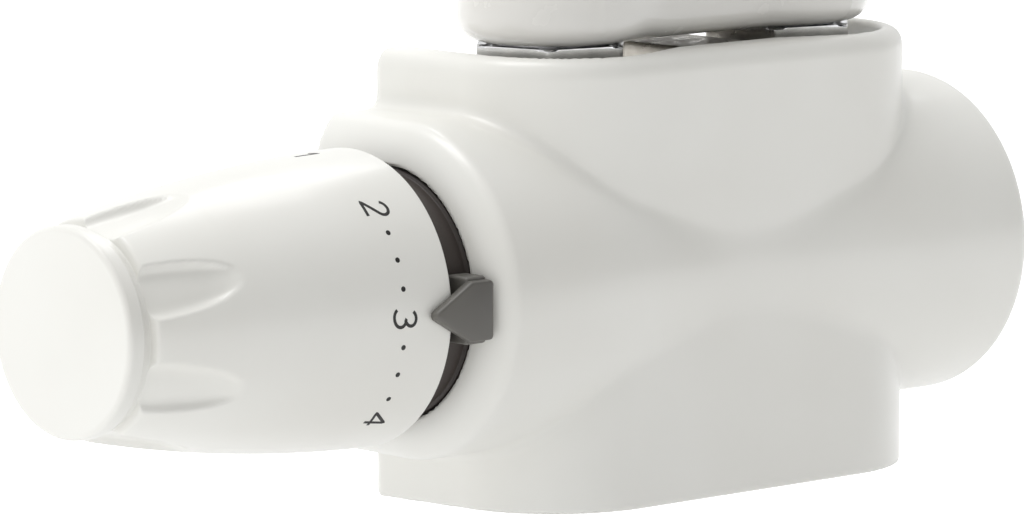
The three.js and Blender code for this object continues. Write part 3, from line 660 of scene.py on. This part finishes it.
def end_cap():
    """A slightly domed disc with a stem into the wheel."""
    dome = [(CAP_X + CAP_DOME * (r / CAP_R) ** 2, r, 0) for r in np.linspace(0, CAP_R - 2, 12)]
    corners = [*dome, (CAP_X + CAP_DOME, CAP_R, 1.5), (CAP_SEAT_X, CAP_R, 0.3), (CAP_SEAT_X, CAP_STEM_R, 0.3),
               (CAP_BACK_X, CAP_STEM_R, 0.5), (CAP_BACK_X, 0, 0)]
    points, faces = turned(corners, 160)
    add_piece("cap_disc", points, faces, "handwheel", "white_plastic", ["end_cap"])


def arc(centre_u, centre_v, radius_u, radius_v, start, end, steps=18):
    turn = np.radians(np.linspace(start, end, steps))
    return list(zip(centre_u + radius_u * np.cos(turn), centre_v + radius_v * np.sin(turn)))


# Strokes of each mark, right and up from its middle. An asterisk stands for the frost mark.
GLYPHS = {
    "0": [arc(0, 0, 1.3, 2.05, 90, 450, 36)],
    "1": [[(-0.9, 1.2), (0.3, 2.1), (0.3, -2.1)]],
    "2": [arc(0, 0.95, 1.25, 1.15, 165, -38) + [(-1.35, -2.1), (1.45, -2.1)]],
    "3": [arc(-0.1, 1.05, 1.2, 1.05, 150, -80) + arc(0, -0.95, 1.4, 1.15, 80, -150)],
    "4": [[(0.75, -2.1), (0.75, 2.1), (-1.5, -0.85), (1.5, -0.85)]],
    "5": [[(1.25, 2.1), (-0.85, 2.1), (-1.05, 0.25)] + arc(0, -0.75, 1.35, 1.3, 130, -150)],
    "*": [[(-1.3, 0.75), (1.3, -0.75)], [(-1.3, -0.75), (1.3, 0.75)], [(0, -1.5), (0, 1.5)]],
}
DIAL = {"*": 2.5, "0": 3, "1": 2, "2": 1, "3": 0, "4": -1, "5": -2}  # place of each mark, in scale steps
SLANT = 0.13  # the numerals lean to the right


def resampled(stroke, spacing=0.25):
    path = np.array(stroke, float)
    lengths = np.linalg.norm(np.diff(path, axis=0), axis=1)
    dense = [path[:1]]
    for start, end, length in zip(path[:-1], path[1:], lengths):
        count = max(1, math.ceil(length / spacing))
        dense.append(start + (end - start) * np.arange(1, count + 1)[:, None] / count)
    return np.concatenate(dense)


def on_wheel(u, v, scale_angle, lift):
    """A point right and up from a mark's middle, laid on the wheel; up is towards the skirt."""
    x = SCALE_X + v
    radius = wheel_radius(x)
    return turned_points("x", x, radius + lift, scale_angle - u / radius)


def ribbon(stroke, scale_angle):
    """A stroke as a thin band that stands just proud of the wheel."""
    path = resampled(stroke)
    path[:, 0] += SLANT * path[:, 1]
    along = np.gradient(path, axis=0)
    along /= np.linalg.norm(along, axis=1, keepdims=True)
    across = np.stack((-along[:, 1], along[:, 0]), -1) * NUMERAL_STROKE
    left, right = path + across, path - across
    corners = [on_wheel(*side.T, scale_angle, lift) for side, lift in
               ((left, INK_LIFT), (right, INK_LIFT), (right, INK_ROOT), (left, INK_ROOT))]
    points = np.stack(corners, 1).reshape(-1, 3)
    faces = grid_faces(len(path), 4, False).tolist()
    return points, faces + [[0, 1, 2, 3], [len(points) - k for k in (4, 3, 2, 1)]]


def dot(scale_angle, sides=20):
    turn = np.arange(sides) * 2 * math.pi / sides
    u, v = DOT_R * np.cos(turn), DOT_R * np.sin(turn)
    points = np.concatenate([on_wheel(u, v, scale_angle, lift) for lift in (INK_LIFT, INK_ROOT)])
    faces = grid_faces(2, sides, False).tolist()
    return points, faces + [list(range(sides)), list(range(sides, 2 * sides))]


def dial_marks():
    parts = [ribbon(stroke, place * SCALE_STEP) for mark, place in DIAL.items() for stroke in GLYPHS[mark]]
    parts += [dot((numeral + k / 4) * SCALE_STEP) for numeral in (-1, 0) for k in (1, 2, 3)]
    points, faces = joined(*parts)
    ink = moulded("scale_ink", (0.012, 0.011, 0.01), (0.024, 0.022, 0.02), 0.5, 0.4, 0.002, 0.004)
    piece = add_piece("dial_marks", points, faces, "handwheel", "dark_plastic", material=ink)
    piece.data.shade_flat()


handwheel()
end_cap()
dial_marks()


def head_base():
    """The tube round the sensor: an outer thread for the wheel, the dark ring, and the end on the neck."""
    thread_r, root_r, bore_r, step_x = 16.6, 15.7, 14.5, -72.4
    pitch, rings = 2.4, 7
    flange_r, flange_x, flange_end_x = BASE_R + 0.5, -59.8, -56.5
    shoulder_r, shoulder_x, floor_x = 17.6, -53, -55.5
    groove_r, lip_r, lip_x, end_x, hole_r = 12.4, 14.4, -50.2, -47.8, 9.4
    thread = []
    for k in range(rings):
        x = BASE_END_X + 0.6 + k * pitch
        thread += [(x, root_r, 0.2), (x + 0.6, thread_r, 0.2),
                   (x + 1.3, thread_r, 0.2), (x + 1.9, root_r, 0.2)]
    corners = [(BASE_END_X, bore_r, 0.2), (BASE_END_X, root_r, 0.3), *thread, (step_x, root_r, 0.2),
               (step_x, BASE_R, 0.5), (flange_x - 0.3, BASE_R, 0.2), (flange_x, flange_r, 0.1),
               (flange_end_x, flange_r, 0.2), (flange_end_x + 2, shoulder_r, 0.3),
               (shoulder_x, shoulder_r, 0.3),
               (shoulder_x, groove_r, 0.2), (lip_x, groove_r, 0.2), (lip_x, lip_r, 0.2), (end_x, lip_r, 0.2),
               (end_x, hole_r, 0.2), (floor_x, hole_r, 0.2), (floor_x, bore_r, 0.3)]
    points, faces = turned(corners, 144)
    add_piece("sensor_housing", points, faces, "valve", "dark_plastic", ["head_base"])


def head_nut():
    """The nut that clamps the base on the valve's neck, with coarse knurls."""
    knurls, knurl_depth, lip_x, lip_r, bore_r = 20, 0.7, -50.5, 12.8, 15.3

    def knurled(height, radius, angle):
        step = 2 * math.pi / knurls
        valley = np.maximum(1 - (np.abs(angle % step - step / 2) / (step * 0.22)) ** 2, 0)
        return np.where(radius > bore_r + 1, radius - knurl_depth * valley, radius)

    corners = [(NUT_X, lip_r, 0.2), (NUT_X, HEAD_NUT_R, 0.9), (NUT_END_X, HEAD_NUT_R, 0.9),
               (NUT_END_X, bore_r, 0.2), (lip_x, bore_r, 0.2), (lip_x, lip_r, 0.2)]
    points, faces = turned(corners, 12 * knurls, shape=knurled)
    add_piece("knurled_nut", points, faces, "valve", "chrome", ["head_nut"])


def setting_pointer():
    """A house-shaped plate whose sides slope down to a foot on the base ring."""
    tip_x, rear_x = POINTER_LOW[0] + 0.8, POINTER_HIGH[0] + 0.1
    face_y, half = POINTER_LOW[1], 4.6
    shoulder_x, foot_half = rear_x - 3.9, POINTER_HIGH[2]
    under_y = -SKIRT_R - 0.25
    plate_end_x = rear_x + 0.5
    outline = rounded([(tip_x, 0, 0.7), (shoulder_x, -half, 1.1), (plate_end_x, -half, 0.7),
                       (plate_end_x, half, 0.7), (shoulder_x, half, 1.1)])
    levels = [(face_y, 0.42), (face_y + 0.05, 0.2), (face_y + 0.16, 0.06), (face_y + 0.32, 0.0),
              (under_y - 0.1, -0.12), (under_y, 0.05)]
    plate = stacked(outline, levels)
    foot = block_points(shoulder_x - 0.2, rear_x, under_y - 0.25, -BASE_R + 0.3, -foot_half, foot_half, 0.5)
    points, faces = joined(plate, foot)
    add_piece("pointer_mark", points, faces, "valve", "grey_plastic", ["setting_pointer"])


head_base()
head_nut()
setting_pointer()

# ---- valve ----


def rod_field(along, from_a, from_b, low, high, radius, edge):
    """A rod from low to high along one axis; from_a and from_b are the distances from its middle line."""
    return soft_max(np.hypot(from_a, from_b) - radius, np.maximum(low - along, along - high), edge)


LOWER_Z = -21.0  # the lower passages, which lead to the wall ports
LEG_TOP, LEG_R = 19.0, 12.6
NECK_END_X, NECK_R = -41.6, 15
BARREL_END_X, BARREL_R = 38, 13
BONNET_X, BONNET_R = 30, 11
ARM_R, WALL_PORT_R = 11.5, 13.2
PASSAGE_R, PASSAGE_BORE_R = 7.5, 4.5
CHAMBER_X = 8.25  # middle of each valve chamber, from the valve's middle
CHAMBER_HALF = 7.5
INSERT_BORE_R, BONNET_BORE_R = 11.3, 8
INSERT_SEAT_X = 17.5
LEG_BORE_R, WALL_BORE_R = 8, 7.5
SEAT_R = 5.5
CAST_EDGE, TURNED_EDGE, BORE_EDGE = 3, 0.6, 0.3


def block_field(x, y, z):
    """The cast block: outer shapes blended where they are cast, then the bores."""
    side_x, chamber_x, lower_z = np.abs(x) - PORT_X, np.abs(x) - CHAMBER_X, z - LOWER_Z
    barrel = rod_field(x, y, z, NECK_END_X, BARREL_END_X, BARREL_R, 0.8)
    neck = rod_field(x, y, z, BLOCK_LOW[0], NECK_END_X, NECK_R, TURNED_EDGE)
    bonnet = rod_field(x, y, z, BONNET_X, BLOCK_HIGH[0], BONNET_R, TURNED_EDGE)
    legs = rod_field(z, side_x, y, LOWER_Z, LEG_TOP, LEG_R, TURNED_EDGE)
    arms = rod_field(y, side_x, lower_z, -ARM_R, BLOCK_HIGH[1] - 8, ARM_R, CAST_EDGE)
    ports = rod_field(y, side_x, lower_z, BLOCK_HIGH[1] - 12, BLOCK_HIGH[1], WALL_PORT_R, TURNED_EDGE)
    passage = rod_field(x, y, lower_z, -PORT_X, PORT_X, PASSAGE_R, 0.5)
    chambers = np.maximum(np.abs(chamber_x), np.abs(y)) - CHAMBER_HALF
    chambers = np.maximum(chambers, np.maximum(LOWER_Z - z, z))
    body = soft_min(barrel, soft_min(legs, arms, CAST_EDGE), CAST_EDGE)
    body = soft_min(body, soft_min(passage, chambers, 2), CAST_EDGE)
    body = np.minimum(np.minimum(body, neck), np.minimum(bonnet, ports))
    # The bores run on past the block's faces.
    bores = [
        rod_field(x, y, z, -60, -INSERT_SEAT_X, INSERT_BORE_R, BORE_EDGE),
        rod_field(x, y, z, INSERT_SEAT_X, 60, BONNET_BORE_R, BORE_EDGE),
        rod_field(z, side_x, y, 0, 40, LEG_BORE_R, BORE_EDGE),
        rod_field(y, side_x, lower_z, 0, 50, WALL_BORE_R, BORE_EDGE),
        np.maximum(np.hypot(y, z) - SEAT_R, np.maximum(4 - np.abs(x), np.abs(x) - 20)),
        rod_field(z, chamber_x, y, LOWER_Z, 0, PASSAGE_BORE_R, BORE_EDGE),
        np.maximum(np.hypot(y, lower_z) - PASSAGE_BORE_R, np.maximum(CHAMBER_X - np.abs(x), side_x)),
    ]
    for bore in bores:
        body = soft_max(body, -bore, 0.5)
    return body


points, quads, normals = surface_net(block_field, BLOCK_LOW, BLOCK_HIGH)
add_piece("cast_valve_block", points, quads, "valve", "nickel", ["valve_block"], normals)


def hexed(across_flats, turn=0.0, above=0.0, low=-1e3, high=1e3):
    """A shape function that trims a turned part to a hexagon between two heights."""
    def shape(height, radius, angle):
        sector = (angle + turn) % (math.pi / 3) - math.pi / 6
        flat = across_flats / 2 / np.cos(sector)
        trimmed = soft_min(radius, flat, 0.25)
        return np.where((radius > above) & (height > low) & (height < high), trimmed, radius)
    return shape


NIPPLE_BORE_R, NIPPLE_R, NIPPLE_CREST_R = 7, 9.3, 10.4
NIPPLE_FLANGE_R, NIPPLE_FLANGE = 12.2, 2.8
NIPPLE_HEX, NIPPLE_HEX_Z, NIPPLE_PITCH = 23, 29.5, 1.8
HEX_CORNER_R, HEX_END_R = 13.28, 12.8
NUT_HEX, NUT_BORE_R, NUT_HOLE_R = 28, 12.9, 9.7
NUT_CORNER_R, NUT_FACE_R, NUT_CHAMFER = 16.4, 14.6, 1.1
GASKET_R, GASKET_HOLE_R = 12, 8


def nipple(name, centre):
    low, high = extent("radiator_nipple_" + name)
    hex_high = STUB_LOW[2] - 0.3
    flange_top = low[2] + NIPPLE_FLANGE
    ring_z = hex_high + 0.2
    thread = []
    while ring_z + NIPPLE_PITCH < high[2]:
        thread += [(ring_z + 0.3, NIPPLE_R, 0.1), (ring_z + 0.9, NIPPLE_CREST_R, 0.1),
                   (ring_z + 1.5, NIPPLE_R, 0.1)]
        ring_z += NIPPLE_PITCH
    corners = [(low[2], NIPPLE_BORE_R, 0.2), (low[2], NIPPLE_FLANGE_R, 0.3),
               (flange_top, NIPPLE_FLANGE_R, 0.3), (flange_top, NIPPLE_R, 0.3),
               (NIPPLE_HEX_Z, NIPPLE_R, 0.2), (NIPPLE_HEX_Z, HEX_END_R, 0.1),
               (NIPPLE_HEX_Z + 0.3, HEX_CORNER_R, 0.1), (hex_high - 0.3, HEX_CORNER_R, 0.1),
               (hex_high, HEX_END_R, 0.1), (hex_high, NIPPLE_R, 0.1), *thread,
               (high[2], NIPPLE_R, 0.3), (high[2], NIPPLE_BORE_R, 0.2)]
    shape = hexed(NIPPLE_HEX, math.radians(15), 11, NIPPLE_HEX_Z - 0.1, hex_high + 0.1)
    points, faces = turned(corners, 192, "z", centre, shape)
    add_piece("nipple_" + name, points, faces, "valve", "chrome", ["radiator_nipple_" + name])
    return flange_top


def union_nut(name, centre, flange_top):
    low, high = extent("union_nut_" + name)
    corners = [(low[2], NUT_BORE_R, 0.3), (low[2], NUT_FACE_R, 0.1),
               (low[2] + NUT_CHAMFER, NUT_CORNER_R, 0.1), (high[2] - NUT_CHAMFER, NUT_CORNER_R, 0.1),
               (high[2], NUT_FACE_R, 0.1), (high[2], NUT_HOLE_R, 0.3),
               (flange_top + 0.3, NUT_HOLE_R, 0.2), (flange_top + 0.3, NUT_BORE_R, 0.2)]
    points, faces = turned(corners, 192, "z", centre, hexed(NUT_HEX, 0, 13.5))
    add_piece("union_" + name, points, faces, "valve", "chrome", ["union_nut_" + name])


def gasket(name, centre):
    low, high = extent("union_gasket_" + name)
    corners = [(low[2], GASKET_HOLE_R, 0.4), (low[2], GASKET_R, 0.5), (high[2], GASKET_R, 0.5),
               (high[2], GASKET_HOLE_R, 0.4)]
    points, faces = turned(corners, 96, "z", centre)
    add_piece("gasket_" + name, points, faces, "valve", "rubber", ["union_gasket_" + name])


def unions():
    """Nipple, nut and gasket over each leg of the block."""
    for name, side in (("left", -1), ("right", 1)):
        centre = (side * PORT_X, 0, 0)
        flange_top = nipple(name, centre)
        union_nut(name, centre, flange_top)
        gasket(name, centre)


def shutoff_cap():
    """A cap with a ribbed grip and a shallow dimple in its end."""
    end_x, inner_r = SHUTOFF_HIGH[0], 11.3
    inner_x, dimple_x = end_x - 2.2, end_x - 0.5
    ribs, rib_depth = 36, 0.35
    corners = [(inner_x, 0, 0), (inner_x, inner_r, 0.4), (SHUTOFF_LOW[0], inner_r, 0.3),
               (SHUTOFF_LOW[0], SHUTOFF_CAP_R, 0.5), (end_x, SHUTOFF_CAP_R, 1.0), (end_x, 5, 0.3),
               (dimple_x, 4, 0.3), (dimple_x, 0, 0)]

    def ribbed(height, radius, angle):
        rib = 0.5 + 0.5 * np.cos(ribs * angle)
        return np.where((radius > inner_r + 1) & (height < end_x - 1.2), radius - rib_depth * rib, radius)

    points, faces = turned(corners, 288, shape=ribbed)
    add_piece("blind_cap", points, faces, "valve", "nickel", ["shutoff_cap"])


SPACER_LOW, SPACER_HIGH = extent("union_spacer")


def spacer_field(x, y, z):
    """A block between the two union nuts with rounded edges."""
    sides = soft_max(np.abs(x) - SPACER_HIGH[0], np.abs(y) - SPACER_HIGH[1], 3.0)
    return soft_max(sides, np.maximum(SPACER_LOW[2] - z, z - SPACER_HIGH[2]), 1.0)


unions()
shutoff_cap()
points, quads, normals = surface_net(spacer_field, SPACER_LOW, SPACER_HIGH)
add_piece("spacer_block", points, quads, "valve", "nickel", ["union_spacer"], normals)

# ---- CAD nodes that are shown as they are ----

slot_of = {part["node"]: part["material_slot"] for part in frame["record"]["subparts"]}
for node_name, node in frame["nodes"].items():
    if not node.hide_render:
        node.data.materials.clear()
        node.data.materials.append(LOOKS[slot_of[node_name]])

# ---- floor, light and camera ----

FLOOR_DROP = 0.06
FLOOR_SIZE = 6.0
# Painted light: the floor glows white by its own emission away from the valve. Under the valve it doesn't
# glow, which leaves a painted soft shadow there.
FLOOR_PAINTED_LIGHT = 0.7  # the far floor is lit until it is white, the floor under the valve is not
FLOOR_PAINTED_LIGHT_FROM, FLOOR_PAINTED_LIGHT_TO = 0.14, 0.4  # metres from the floor's middle
DIM_SIDE = (0.2, -0.96, -0.2)
DIM_RANGE = (0.1, 0.75)
SKY = (0.97, 0.02)  # world strength everywhere else and at the dim side
CAMERA_AZIMUTH, CAMERA_ELEVATION = -42.66, 7.68  # degrees
CAMERA_DISTANCE = 1.1334
CAMERA_AIM = (-18.05, 16.64, 0)
SENSOR_WIDTH, FOCAL_LENGTH = 36, 247.9


def floor():
    work = bmesh.new()
    bmesh.ops.create_circle(work, cap_ends=True, segments=96, radius=FLOOR_SIZE)
    mesh = bpy.data.meshes.new("floor")
    work.to_mesh(mesh)
    work.free()
    plane = bpy.data.objects.new("floor", mesh)
    plane.location = (0, 0, cad_box[0].z - FLOOR_DROP)
    bpy.context.scene.collection.objects.link(plane)
    nodes = Nodes("pale_floor")
    surface = nodes.shader.inputs
    tone = nodes.tint(nodes.noise(60, 3), (0.86, 0.86, 0.86), (0.88, 0.88, 0.88))
    nodes.link(tone, surface["Base Color"])
    surface["Roughness"].default_value = 0.9
    surface["Specular IOR Level"].default_value = 0.1
    # Painted light: emission that grows with distance from the floor's middle, none near the valve.
    far = nodes.add("ShaderNodeVectorMath", operation="LENGTH")
    nodes.link(nodes.place, far.inputs[0])
    painted_glow = nodes.spread(far.outputs["Value"], 0.0, FLOOR_PAINTED_LIGHT, FLOOR_PAINTED_LIGHT_FROM, FLOOR_PAINTED_LIGHT_TO)
    surface["Emission Color"].default_value = (1, 1, 1, 1)
    nodes.link(painted_glow, surface["Emission Strength"])
    mesh.materials.append(nodes.material)


def placed(name, data, azimuth, elevation, distance, aim=(0, 0, 0)):
    """A light or camera that faces a point from a direction; azimuth 0 is the front."""
    a, e = math.radians(azimuth), math.radians(elevation)
    back = Vector((math.sin(a) * math.cos(e), -math.cos(a) * math.cos(e), math.sin(e)))
    eye = bpy.data.objects.new(name, data)
    eye.location = Vector((ORIGIN + aim) * MM) + back * distance
    eye.rotation_mode = "QUATERNION"
    eye.rotation_quaternion = (-back).to_track_quat("-Z", "Y")
    bpy.context.scene.collection.objects.link(eye)
    return eye


def softbox(name, azimuth, elevation, power, distance=0.9, size=0.4):
    data = bpy.data.lights.new(name, "AREA")
    data.shape = "SQUARE"
    data.size = size
    data.energy = power
    placed(name, data, azimuth, elevation, distance)


def camera():
    """The view of the reference: from the front left, a little above."""
    data = bpy.data.cameras.new("camera")
    data.sensor_width = SENSOR_WIDTH
    data.lens = FOCAL_LENGTH
    eye = placed("camera", data, CAMERA_AZIMUTH, CAMERA_ELEVATION, CAMERA_DISTANCE, CAMERA_AIM)
    bpy.context.scene.camera = eye


def world():
    """Even soft light that is dimmer from the room side, where nothing stands."""
    scene_world = bpy.data.worlds.new("studio")
    scene_world.use_nodes = True
    tree = scene_world.node_tree
    background = tree.nodes["Background"]
    background.inputs["Color"].default_value = (0.97, 0.975, 0.98, 1)
    direction = tree.nodes.new("ShaderNodeTexCoord").outputs["Generated"]
    towards = tree.nodes.new("ShaderNodeVectorMath")
    towards.operation = "DOT_PRODUCT"
    towards.inputs[1].default_value = DIM_SIDE
    tree.links.new(direction, towards.inputs[0])
    strength = tree.nodes.new("ShaderNodeMapRange")
    strength.interpolation_type = "SMOOTHSTEP"
    tree.links.new(towards.outputs["Value"], strength.inputs["Value"])
    for key, number in zip(RANGE_INPUTS, (*DIM_RANGE, *SKY)):
        strength.inputs[key].default_value = number
    tree.links.new(strength.outputs["Result"], background.inputs["Strength"])
    bpy.context.scene.world = scene_world


floor()
softbox("top", -130, 75, power=3.0)
softbox("fill_right", 125, 55, power=1.6)
world()
camera()
bpy.context.scene.view_settings.view_transform = "Standard"
